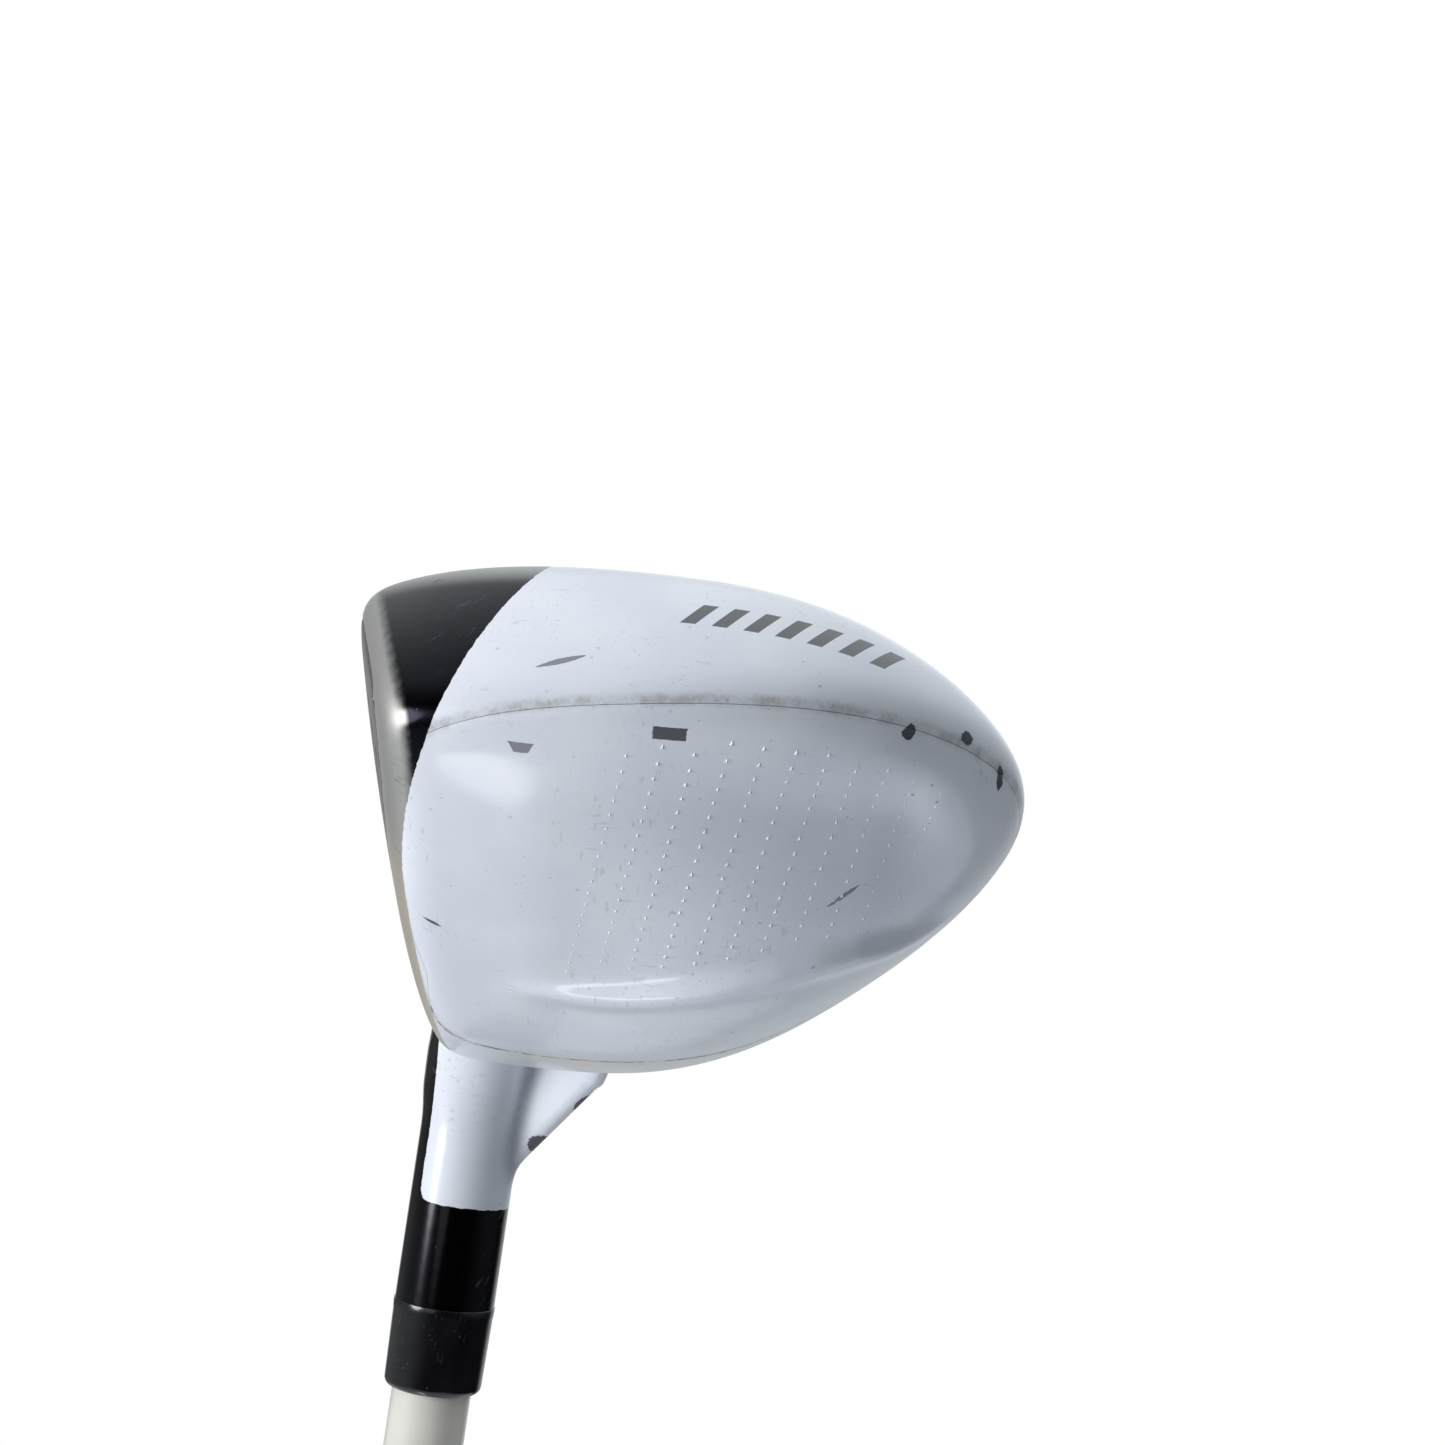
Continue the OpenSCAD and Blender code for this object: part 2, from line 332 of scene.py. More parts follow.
bpy.context.scene.view_settings.view_transform = "Standard"
make_world()
for lamp in LAMPS:
    add_lamp(*lamp)
make_floor()
print("studio lit by the tent and", len(LAMPS), "lamps")

# %% [markdown]
# ## The shape of the head
# The head is a cast shell, all soft blends: crown into skirt, skirt into sole and face, and
# the hosel's neck into the heel. Modelling that by pushing vertices would never blend as
# evenly, so it is written as a field: a formula that is negative inside the metal and positive
# outside. Fields join with a rounded maximum or minimum, and that rounding is the fillet.

# %% The head's field
AROUND = {  # every 30 degrees from the back, by the toe
    "outline": [38, 45, 46, 41, 44, 49, 47, 42, 35, 32, 30, 31],
    "edge": [11, 14, 20, 26, 28, 30, 33, 33, 29, 27, 22, 16],
    "tuck": [13, 12, 8, 8, 8, 5, 5, 6, 6, 8, 10, 12],
    "seam": [-9, -4, 4, 11, 14, 28, 42, 30, 36, 46, 40, 14],
}
CORE = (24.0, 36.0, 17.0)
CROWN_HEIGHT, CROWN_POWER = 35.0, 2.3
LOFT, FACE_OPEN = math.radians(21), math.tan(math.radians(1.5))


def around(name, angle):
    """A closed B-spline through evenly spaced values."""
    values = np.array(AROUND[name], float)
    count = len(values)
    turn = (angle / (2 * np.pi)) % 1.0 * count
    i = np.floor(turn).astype(int)
    f = turn - i
    a, b, c, d = (values[(i + k) % count] for k in (-1, 0, 1, 2))
    return ((1 - f) ** 3 * a + (3 * f ** 3 - 6 * f ** 2 + 4) * b
            + (-3 * f ** 3 + 3 * f ** 2 + 3 * f + 1) * c + f ** 3 * d) / 6


def rounded_max(a, b, width):
    return np.maximum(a, b) + np.maximum(width - np.abs(a - b), 0) ** 3 / (6 * width ** 2)


def rounded_min(a, b, width):
    return -rounded_max(-a, -b, width)


def smooth(value, low, high):
    t = np.clip((value - low) / (high - low), 0, 1)
    return t * t * (3 - 2 * t)


print("head", max(AROUND["outline"]), "mm from its core at most,", CROWN_HEIGHT, "mm high")

# %% [markdown]
# ## The three parts of the casting
# The shell joins four fields: a domed crown, a skirt that tucks in, a sole with a slight belly
# and a bulged face that leans back by its loft. The neck and hosel are rods, and the web
# behind them is three thin plates. Each is simple to write, and blending does the rest.

# %% Shell, rods and plates
FACE_AHEAD = 13.5  # the face meets the ground this far in front of the shaft's line, in mm


def face_bow(y, z):
    """How far the face curves back away from its middle, for numbers and wires alike."""
    off, up = y - 38, z - 17
    return off * off / 560 + up * up / 520


def before_face(p):
    """Distance in front of the bulged and lofted face."""
    x, y, z = p[..., 0], p[..., 1], p[..., 2]
    lean = z * math.tan(LOFT) + (y - 38) * FACE_OPEN - FACE_AHEAD
    return (lean + face_bow(y, z) - x) * math.cos(LOFT)


def outside_shell(p):
    """Height above the smooth shell of the head: crown, skirt, sole and face."""
    x, y, z = p[..., 0], p[..., 1], p[..., 2]
    angle = np.arctan2(y - CORE[1], x - CORE[0])
    reach = np.hypot(x - CORE[0], y - CORE[1])
    outline, edge = around("outline", angle), around("edge", angle)
    s = reach / outline
    rise = CROWN_HEIGHT - edge
    slope = rise * CROWN_POWER * np.minimum(s, 1.3) ** (CROWN_POWER - 1) / outline
    crown = (z - CROWN_HEIGHT + rise * s ** CROWN_POWER) / np.sqrt(1 + slope ** 2)
    drop = np.clip((edge - z) / edge, 0, 1.3)
    skirt = reach - (outline - around("tuck", angle) * drop ** 2)
    sole = (x - 14) ** 2 / 380 + (y - 38) ** 2 / 520 - z
    shell = rounded_max(crown, skirt, 5)
    return rounded_max(rounded_max(shell, sole, 7), before_face(p), 5)


def outside_rod(p, a, b, radius_a, radius_b):
    """Distance from a rod with round ends that may taper."""
    a, b = np.asarray(a, float), np.asarray(b, float)
    t = np.clip((p - a) @ (b - a) / ((b - a) @ (b - a)), 0, 1)
    return (np.linalg.norm(p - a - t[..., None] * (b - a), axis=-1)
            - radius_a - t * (radius_b - radius_a))


def outside_plate(p, a, b, c, radius):
    """Distance from a three-cornered plate with round edges."""
    a, b, c = (np.asarray(v, float) for v in (a, b, c))
    up = np.cross(b - a, c - a)
    up /= np.linalg.norm(up)
    rim = np.minimum(np.minimum(outside_rod(p, a, b, 0, 0), outside_rod(p, b, c, 0, 0)),
                     outside_rod(p, c, a, 0, 0))
    inside = np.ones(p.shape[:-1], bool)
    for start, end in ((a, b), (b, c), (c, a)):
        inside &= (p - start) @ np.cross(up, end - start) >= 0
    return np.where(inside, np.abs((p - a) @ up), rim) - radius


print("part helpers ready")

# %% [markdown]
# ## Dressing the crown
# A crest runs along the heel side of the crown, with a shallow dish between it and the toe's
# edge. Both are heights added to the shell's field before it is blended, so they fade out with
# no edge. The whole casting is then the three parts joined by two fillets.

# %% Crown relief and the whole casting


def line_through(points, x):
    """y of a drawn line at x."""
    points = np.array(points, float)
    return np.interp(x, points[:, 0], points[:, 1])


RIDGE = [(8, 37), (19, 37.5), (24, 38.4), (30, 40.4), (36, 42.2), (40, 43), (44, 43.2),
         (48, 42.4), (52, 40.2), (58, 36)]
TOE_LINE = [(4, 75.5), (12, 75.5), (20, 76.5), (29, 77.5), (37, 77), (43, 75.5), (48, 73.5),
            (52, 71), (56, 67), (60, 62), (62, 57)]
WEB = ([5, -18.5, 31.9], [15.5, -8.5, 22.5], [20, 5, 15], [10, 5, 9], [0, -8, 13.9])


def crown_relief(p):
    """Height of the crown's dressing: a crest at the heel side and a shallow dish."""
    x, y, z = p[..., 0], p[..., 1], p[..., 2]
    off = y - line_through(RIDGE, x)
    along = smooth(x, 9, 20) * smooth(-x, -59, -50)
    crest = 0.85 * np.exp(-(np.maximum(off, 0) / 1.5) ** 2 - (np.minimum(off, 0) / 3.0) ** 2)
    dish = -0.6 * smooth(off, 0, 4.0) * smooth(x, 12, 26)
    hollow = -1.4 * smooth(x, 20, 46) * smooth(off, 0, 17)
    toeward = smooth(line_through(TOE_LINE, x) - y, 3, 13)
    return along * (crest + (dish + hollow) * toeward) * smooth(z, 12, 22)


INSET = 0.14  # the painted skin lies this far inside the measured one, in mm


def three_parts(p):
    """The shell, the stem of neck and hosel, and the web, before they are blended."""
    shell = outside_shell(p) - crown_relief(p)
    neck = outside_rod(p, 27 * SHAFT_LINE, [1.5, 2, 11.2], 6.5, 7.6)
    hosel = outside_rod(p, 24 * SHAFT_LINE, 58 * SHAFT_LINE, 6.5, 6.5)
    web = np.minimum(outside_plate(p, WEB[0], WEB[1], WEB[4], 1.45),
                     np.minimum(outside_plate(p, WEB[1], WEB[2], WEB[3], 1.6),
                                outside_plate(p, WEB[1], WEB[3], WEB[4], 1.6)))
    return shell, rounded_min(neck, hosel, 3), web


def outside(p):
    """The whole casting."""
    shell, stem, web = three_parts(p)
    return rounded_min(rounded_min(shell, stem, 3.6), web, 2.2) + INSET


def from_crease(p):
    """How unequal the two nearest parts are: zero in the creases, where shade is painted."""
    nearest = np.sort(np.stack(three_parts(p)), axis=0)
    return np.clip(nearest[1] - nearest[0], 0, 20)


print("field at the core:", round(float(outside(np.array([CORE]))[0]), 1), "mm")

# %% [markdown]
# ## From a field to a skin
# A surface net turns the field into quads: one vertex in each small cell that the surface
# passes through, and one quad round each grid edge that it crosses. The raw net is stepped,
# so it is relaxed and then dropped back on the true surface with a few Newton steps.

# %% The surface net
STEP = 0.7
NET_LOW, NET_HIGH = (-15.05, -37.05, -1.05), (65, 81, 59)


def slope_of(field, p, reach=0.05):
    """Direction in which a field grows fastest, by small differences."""
    out = np.empty_like(p)
    for axis in range(3):
        shift = np.zeros(3)
        shift[axis] = reach
        out[:, axis] = (field(p + shift) - field(p - shift)) / (2 * reach)
    return out


def outward(points):
    """Unit normals of the casting."""
    up = slope_of(outside, points)
    return up / np.linalg.norm(up, axis=1)[:, None]


def settle(field, p, rounds=2):
    """Moves points on to the surface where a field is zero."""
    for _ in range(rounds):
        g = slope_of(field, p)
        p = p - (field(p) / np.maximum((g * g).sum(1), 0.05))[:, None] * g
    return p


def net_of(field, low, high, step):
    axes = [np.arange(a, b + step, step) for a, b in zip(low, high)]
    inside = field(np.stack(np.meshgrid(*axes, indexing="ij"), -1)) < 0
    n = [len(a) - 1 for a in axes]
    count = sum(inside[i:n[0] + i, j:n[1] + j, k:n[2] + k].astype(int)
                for i in (0, 1) for j in (0, 1) for k in (0, 1))
    mixed = (count > 0) & (count < 8)
    name = np.full(mixed.shape, -1)
    name[mixed] = np.arange(mixed.sum())
    points = np.array(low) + (np.argwhere(mixed) + 0.5) * step
    quads = []
    for axis in range(3):
        a, b = [k for k in range(3) if k != axis]
        now = np.take(inside, range(n[axis]), axis)
        then = np.take(inside, range(1, n[axis] + 1), axis)
        for turned, cross in ((False, now & ~then), (True, ~now & then)):
            at = np.argwhere(cross)
            step_a, step_b = np.eye(3, dtype=int)[a], np.eye(3, dtype=int)[b]
            ring = [at - step_a - step_b, at - step_b, at, at - step_a]
            quad = np.stack([name[tuple(r.T)] for r in ring], 1)
            quads.append(quad[:, ::-1] if turned ^ (axis == 1) else quad)
    return points, np.concatenate(quads)


def relax(points, quads, field, rounds=5):
    edges = np.concatenate([quads[:, [i, (i + 1) % 4]] for i in range(4)])
    edges = np.concatenate([edges, edges[:, ::-1]])
    size = np.bincount(edges[:, 0], minlength=len(points))[:, None]
    for _ in range(rounds):
        mean = np.stack([np.bincount(edges[:, 0], points[edges[:, 1], k], len(points))
                         for k in range(3)], 1) / size
        points = settle(field, points * 0.4 + mean * 0.6, rounds=1)
    return settle(field, points)


skin, quads = net_of(outside, NET_LOW, NET_HIGH, STEP)
skin = relax(skin, quads, outside)
print(f"{len(skin)} points, {len(quads)} quads, furthest from the surface "
      f"{np.abs(outside(skin)).max():.3f} mm")

# %% [markdown]
# ## Cutting the casting into its pieces
# The real head is a cast body with a crown and a face plate welded on. Each joint is a line
# where some level is zero, so each piece is what is left of the skin on one side of it.
# Triangles that the line crosses are cut exactly, which keeps the joint a clean curve.

# %% Cut along a line


def triangles_of(points, quads):
    """Each quad as two triangles across its shorter diagonal."""
    a, b, c, d = quads.T
    first = np.linalg.norm(points[a] - points[c], axis=1)
    short = (first < np.linalg.norm(points[b] - points[d], axis=1))[:, None]
    one = np.where(short, np.stack([a, b, c], 1), np.stack([a, b, d], 1))
    two = np.where(short, np.stack([a, c, d], 1), np.stack([b, c, d], 1))
    return np.concatenate([one, two])


def bring_to_line(points, level, reach=0.24):
    """Slides the points next to a line on to it, so that no sliver is left by the cut."""
    value = level(points)
    close = np.abs(value) < reach
    p = points[close]
    up = outward(p)
    g = slope_of(level, p)
    g -= (g * up).sum(1)[:, None] * up
    points = points.copy()
    points[close] = p - (value[close] / np.maximum((g * g).sum(1), 0.2))[:, None] * g
    return points


def cut(points, faces, level, snap=0.03):
    """Keeps the side of a skin where level is below zero, cut along the line."""
    value = level(points)
    value[np.abs(value) < snap] = 0
    signs = np.sign(value)[faces]
    whole = faces[(signs <= 0).all(1) & (signs < 0).any(1)]
    crossed = faces[(signs < 0).any(1) & (signs > 0).any(1)]
    points, made, extra = list(points), {}, []

    def crossing(i, j):
        key = (min(i, j), max(i, j))
        if key not in made:
            t = value[key[0]] / (value[key[0]] - value[key[1]])
            made[key] = len(points)
            points.append(points[key[0]] * (1 - t) + points[key[1]] * t)
        return made[key]

    for face in crossed.tolist():
        loop = []
        for i, j in zip(face, face[1:] + face[:1]):
            if value[i] <= 0:
                loop.append(i)
            if value[i] * value[j] < 0:
                loop.append(crossing(i, j))
        extra += [(loop[0], loop[k], loop[k + 1]) for k in range(1, len(loop) - 1)]
    faces = np.concatenate([whole, np.array(extra, int).reshape(-1, 3)])
    used, index = np.unique(faces, return_inverse=True)
    return np.array(points)[used], index.reshape(faces.shape)


def open_edges(faces):
    """Directed edges that only one face uses."""
    edges = np.concatenate([faces[:, [i, (i + 1) % 3]] for i in range(3)])
    pairs = set(map(tuple, edges.tolist()))
    return np.array([e for e in pairs if (e[1], e[0]) not in pairs])


print("cutting tools ready")

# %% [markdown]
# ## Giving a skin its thickness
# A cut skin is a sheet. A copy pushed inwards along the normals, joined to it round the edge,
# makes a closed wall. Where a joint shows, the edge is also pressed in and drawn back a hair,
# which leaves a fine dark line. Under the plating the joint is welded flush, so it has none.

# %% Close a skin into a wall


def along_shaft(p):
    return p @ SHAFT_LINE


def shell_of(points, faces, depth, sink=0.08, shrink=0.025):
    """Closes an open skin into a wall, its open edge pressed in and drawn back a little."""
    up = outward(points)
    inner = points - up * depth(points)[:, None]
    rim = open_edges(faces)
    outer = points.copy()
    edge = np.unique(rim)
    welded = (paint_edge(points) < 0) & (np.abs(crown_level(points)) < 0.3)
    open_joint = (~welded & (along_shaft(points) < 50)).astype(float)[:, None]
    outer[edge] -= up[edge] * sink * open_joint[edge]
    back = np.zeros_like(points)
    for a, b in rim.tolist():
        side = np.cross(up[a] + up[b], points[b] - points[a])
        side /= max(np.linalg.norm(side), 1e-9)
        back[a] += side
        back[b] += side
    outer += back * shrink / 2 * open_joint
    n = len(points)
    walls = [(b, a, a + n, b + n) for a, b in rim.tolist()]
    return np.concatenate([outer, inner]), faces.tolist() + (faces[:, ::-1] + n).tolist() + walls


print("wall maker ready")

# %% [markdown]
# ## Where the joints run
# The crown's seam is drawn by its angle as seen from the middle of the head, the face's by a
# rounded window in the flat of the front, and the hosel's end by its station on the shaft's
# line. All three are levels that are zero on the joint, so one cutter serves them.

# %% The joints and the wall
HAIR = 0.02  # round pieces stop this far inside their measured ones, in mm


def crown_level(p):
    """Below zero on the crown: above the seam's angle and not out on the neck."""
    x, y, z = (p - np.array(CORE)).T
    angle = np.arctan2(y, x)
    flat = np.hypot(x, y)
    seam = np.radians(around("seam", angle))
    above = (np.arctan2(z, flat) - seam) * np.hypot(flat, z)
    return -above


FACE_MIDDLE, FACE_HIGH, FACE_TOEWARD, FACE_HEELWARD = (38.0, 15.6), 12.6, 32.0, 26.0


def face_level(p):
    """Below zero on the face plate: a rounded window in the flat of the front."""
    off = p[:, 1] - FACE_MIDDLE[0]
    u = np.abs(off) / np.where(off > 0, FACE_TOEWARD, FACE_HEELWARD)
    v = np.abs(p[:, 2] - FACE_MIDDLE[1]) / FACE_HIGH
    window = ((u ** 3 + v ** 3) ** (1 / 3) - 1) * FACE_HIGH
    return rounded_max(window, -before_face(p) * 4 - 1.6, 2)


def hosel_level(p):
    """Below zero short of the hosel's end."""
    return along_shaft(p) - (HOSEL_LENGTH - HAIR)


def body_wall(p):
    """Thickness of the casting's wall: a tube at the hosel, thin at the web."""
    stem = smooth(outside_shell(p), 0.5, 3)
    hosel = smooth(along_shaft(p), 36, 40)
    return 1.3 - 0.6 * stem + 0.9 * hosel * stem


print("seam at", AROUND["seam"][0], "degrees at the back,", AROUND["seam"][3], "at the toe")

# %% [markdown]
# ## The face plate
# Score lines are finer than the net, so the face gets a finer grid of its own, pushed straight
# back on to the same surface. The lines are pressed in later, once the plate is cut out. With
# that, all three pieces can be cut.

# %% Grid the face and cut the pieces
FACE_STEP = 0.28
PATCH_ACROSS, PATCH_UP = (5, 74), (1.5, 30)
LINES = [7.2 + 3.1 * k for k in range(6)]


def face_patch():
    """A fine grid on the front, dropped on the surface straight along x."""
    across = np.arange(*PATCH_ACROSS, FACE_STEP * 2)
    up = np.arange(*PATCH_UP, FACE_STEP)
    y, z = np.meshgrid(across, up, indexing="ij")
    points = np.stack([np.full(y.shape, -20.0), y, z], -1).reshape(-1, 3)
    for _ in range(40):
        points[:, 0] += outside(points) * 0.8
    i, j = np.meshgrid(range(len(across) - 1), range(len(up) - 1), indexing="ij")
    first = (i * len(up) + j).ravel()
    return points, np.stack([first, first + 1, first + len(up) + 1, first + len(up)], 1)


def score_depth(p):
    """Depth of the pressed score lines, which leave the middle of the face plain."""
    off = np.abs(p[:, 1] - 40)
    across = smooth(off, 4.2, 4.8) * smooth(-off, -21.5, -20.5)
    grooves = sum(smooth(-np.abs(p[:, 2] - line), -0.5, -0.22) for line in LINES)
    return 0.3 * across * grooves


triangles = triangles_of(skin, quads)
for level in (crown_level, face_level, hosel_level):
    skin = bring_to_line(skin, level)
body_skin = cut(*cut(*cut(skin, triangles, lambda p: -crown_level(p)),
                     lambda p: -face_level(p)), hosel_level)
crown_skin = cut(skin, triangles, crown_level)
patch, patch_quads = face_patch()
patch_triangles = triangles_of(patch, patch_quads)
face_skin = cut(bring_to_line(patch, face_level, 0.1), patch_triangles, face_level)
for title, part in (("body", body_skin), ("crown", crown_skin), ("face", face_skin)):
    print(title, len(part[0]), "points,", len(open_edges(part[1])), "open edges")

# %% [markdown]
# ## Meshes with memory
# The finishes need to know where they are: how far from the seam, how far from the paint's
# edge, and the place in the head's own axes. Those numbers are worked out once per vertex
# here and stored on the mesh, where a shader can read them by name.

# %% Store places on the mesh
PAINT_END = 42.2  # station on the hosel where the white stops
CROWN_WALL, FACE_WALL = 1.0, 2.0


def paint_edge(p):
    """How far a point is behind the line where the black front ends, in mm."""
    x, y, z = p.T
    low = np.maximum(27 - z, 0)
    line = (1.2 + 0.0075 * np.maximum(y - 50, 0) ** 2
            + smooth(y, 45, 60) * (0.12 * low + 0.009 * low ** 2))
    head = x - line
    up = along_shaft(p)
    stem = rounded_min(x + 4.3, PAINT_END - up, 3)
    return np.where(y > 8, head, np.where(y < 4, stem, stem + (head - stem) * (y - 4) / 4))


def link_mesh(name, points, faces, angle=34):
    """A piece from points in metres, smooth but for edges that turn more than an angle."""
    mesh = bpy.data.meshes.new(name)
    mesh.from_pydata(points.tolist(), [], faces)
    mesh.validate()
    mesh.update()
    piece = bpy.data.objects.new(name, mesh)
    bpy.context.scene.collection.objects.link(piece)
    mesh.shade_smooth()
    mesh.set_sharp_from_angle(angle=math.radians(angle))
    return piece


def build(name, points, faces, extras, angle=34):
    """A piece made in head axes, with its places there and other numbers stored."""
    piece = link_mesh(name, to_row(points), faces, angle)
    place = piece.data.attributes.new("head", "FLOAT_VECTOR", "POINT")
    place.data.foreach_set("vector", points.astype(np.float32).ravel())
    for title, values in extras.items():
        column = piece.data.attributes.new(title, "FLOAT", "POINT")
        column.data.foreach_set("value", np.asarray(values, np.float32))
    return piece


def head_extras(points):
    return {"seam": np.clip(crown_level(points), -30, 30), "paint": paint_edge(points),
            "painted_crease_shade": from_crease(points)}


def make_head_piece(name, part, depth):
    points, faces = shell_of(*part, depth)
    return build(name, points, faces, head_extras(points))


body = make_head_piece("head_casting", body_skin, body_wall)
crown = make_head_piece("crown_cap", crown_skin, lambda p: np.full(len(p), CROWN_WALL))
face_skin[0][:, 0] += score_depth(face_skin[0])
face = make_head_piece("face_plate_scored", face_skin, lambda p: np.full(len(p), FACE_WALL))
print("head pieces:", [len(o.data.polygons) for o in (body, crown, face)], "faces")

# %% [markdown]
# ## Marks on the crown
# The crown carries a field of tiny raised arrowheads, in slanted columns that stop short of
# the crest. They are drops of paint laid through a stencil. Each one is a closed four-sided
# chip of its own, dropped on the crown with its point along the column, and all of them are
# joined into one piece.

# %% Lay the arrowheads
COLUMN_GAP, ROW_GAP, SLANT = 3.2, 1.75, 0.205
COLUMNS, ROWS = 11, 40
MARK_HEIGHT, MARK_ROOT = 0.17, 0.06


def mark_places():
    """Middle and size of every arrowhead, in head axes."""
    for column in range(COLUMNS):
        for row in range(ROWS):
            y = 75.0 - ROW_GAP * row - (column % 2) * ROW_GAP / 2
            x = 30.9 + COLUMN_GAP * (column - 2) - SLANT * (73.3 - y)
            toeward = line_through(TOE_LINE, x) - 2.6 - 0.08 * max(x - 30, 0)
            heelward = line_through(RIDGE, x) + 3.4
            if not heelward < y < toeward:
                continue
            size = 0.55 + 0.45 * smooth(x, 20, 31)
            yield (x, y), size * (1 - 0.25 * smooth(x, 46, 56))


def drop_on_crown(points):
    """Lowers points on to the casting from above."""
    for _ in range(30):
        points[:, 2] -= outside(points) * 0.9
    return points


def make_marks():
    places = list(mark_places())
    middles = drop_on_crown(np.array([(x, y, CROWN_HEIGHT + 1) for (x, y), _ in places]))
    along = np.array([SLANT, 1.0, 0.0])
    points, faces = [], []
    for middle, n, (_, size) in zip(middles, outward(middles), places):
        forward = along - (along @ n) * n
        forward /= np.linalg.norm(forward)
        side = np.cross(forward, n)
        corners = [(0.5, 0.0), (-0.3, 0.28), (-0.14, 0.0), (-0.3, -0.28)]
        base = len(points)
        for f, w in corners:
            points.append(middle + size * (f * forward + w * side) - MARK_ROOT * n)
        points.append(middle + size * 0.02 * forward + MARK_HEIGHT * n)
        faces += [(base + k, base + (k + 1) % 4, base + 4) for k in range(4)]
        faces += [(base + 2, base + 1, base), (base + 3, base + 2, base)]
    return build("crown_marks", np.array(points), faces, {}, 20)


marks = make_marks()
print("arrowheads:", len(marks.data.vertices) // 5)

# %% [markdown]
# ## Turned pieces
# The ferrule, the shaft and the cap are all round, so each is a profile spun about the
# shaft's line. The profile is a closed loop of radius and height, outside and bore together,
# which makes a solid ring with real thickness.

# %% Turn a profile
ROUND = 96


def wrapped(count, n):
    """Quads between a loop of n points and its next place, all the way round."""
    return [(i * n + j, (i + 1) % count * n + j, (i + 1) % count * n + (j + 1) % n,
             i * n + (j + 1) % n) for i in range(count) for j in range(n)]


def turned(name, profile):
    """Spins a closed loop of (radius, height) in mm about the shaft's line."""
    turns = np.arange(ROUND) * 2 * np.pi / ROUND
    loop = np.array(profile, float)
    points = np.stack([loop[:, 0][None] * np.cos(turns)[:, None],
                       loop[:, 0][None] * np.sin(turns)[:, None],
                       np.repeat(loop[:, 1][None], ROUND, 0)], -1).reshape(-1, 3) * MM
    return link_mesh(name, points, wrapped(ROUND, len(loop)))


def arc(centre, radius, start, stop, steps=6):
    """Points of a round corner, angles in degrees from outwards."""
    return [(centre[0] + radius * math.cos(math.radians(a)),
             centre[1] + radius * math.sin(math.radians(a)))
            for a in np.linspace(start, stop, steps)]


def radius_of(node):
    low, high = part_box(node)
    return (high.x - low.x) / 2 / MM


ferrule_radius = radius_of("ferrule") - HAIR
FERRULE_END, FERRULE_BORE = 6.2, 5.06
ferrule = turned("ferrule_turned", [
    (FERRULE_BORE, ferrule_high), (FERRULE_BORE, ferrule_low + 0.05),
    *arc((FERRULE_END - 1.0, ferrule_low + 1.05), 1.0, -90, 0, 8),
    (ferrule_radius - 0.08, ferrule_high - 1.3), (ferrule_radius - 0.02, ferrule_high - 1.0),
    *arc((ferrule_radius - 0.06, ferrule_high - 0.06), 0.06, 0, 90, 4)])

cap_radius, cap_base, cap_top = radius_of("grip_cap") - HAIR, cap_low + HAIR, cap_high - HAIR
CAP_VENT = 1.6
cap = turned("cap_moulded", [
    (CAP_VENT, cap_top), (CAP_VENT, cap_low + 0.5), (CAP_VENT + 0.3, cap_low + 0.25),
    (4.2, cap_low + 0.25), (4.5, cap_base), (8.8, cap_base),
    *arc((9.4, cap_base), 0.4, 180, 0, 7)[1:-1],
    *arc((cap_radius - 1.3, cap_base + 1.3), 1.3, -90, 0, 8),
    *arc((cap_radius - 0.4, cap_top - 0.4), 0.4, 0, 90, 4)])
print("ferrule and cap turned")

# %% [markdown]
# ## The shaft
# A graphite shaft is a rolled tube that keeps one width under the grip, tapers evenly to the
# parallel tip, and is sanded down a little where it is glued into the hosel. Two thin rings
# are painted just above the grip; they are a hair proud, as paint over masking tape is.

# %% Turn the shaft
BUTT, BUTT_WALL, NECK, TIP, BORE = 7.58, 1.1, 5.04, 4.68, 2.62
RING_WIDTH, RING_STEP = 2.5, 0.05
taper_from = sleeve_high + 12
ring_starts = (taper_from + 60, taper_from + 66)
neck_from, neck_to = ferrule_low - 20, ferrule_low + 1


def shaft_profile():
    rings = []
    for start in ring_starts:
        stop = start + RING_WIDTH
        r = BUTT - (BUTT - NECK) * (start - taper_from) / (neck_from - taper_from)
        proud = r + RING_STEP
        rings += [(r, start), (proud, start + 0.1), (proud, stop - 0.1), (r, stop)]
    outside_line = [(BUTT - 0.2, shaft_low + HAIR), (BUTT, shaft_low + 0.3), (BUTT, taper_from),
                    *rings, (NECK, neck_from), (NECK, neck_to), (TIP, neck_to + 0.3),
                    (TIP, shaft_high - 0.6), (TIP - 0.5, shaft_high - 0.05)]
    inside_line = [(BORE, shaft_high - 0.05), (BORE, neck_from), (BUTT - BUTT_WALL, taper_from),
                   (BUTT - BUTT_WALL, shaft_low + HAIR)]
    return outside_line + inside_line


shaft = turned("shaft_lacquered", shaft_profile())
print("shaft from", round(shaft_low), "to", round(shaft_high), "mm")

# %% [markdown]
# ## The grip
# A rubber grip is moulded with a tread that the hands can feel, so the tread is in the mesh:
# bands of fine slanted lozenges between plain rings, pressed into a tapering sleeve. A grid
# is wrapped round the sleeve and each point is pushed in by the tread's depth.

# %% Mould the grip
SLEEVE = [(12.68, 3), (11.8, 43), (10.7, 154), (9.9, 261), (10.45, 263), (10.45, 267),
          (9.7, 267.95)]
SLEEVE_BORE = 7.82
LIP_FROM, LIP = 261, [262, 263, 265, 267, 267.6]
GRIP_AROUND, GRIP_ALONG = 144, 520


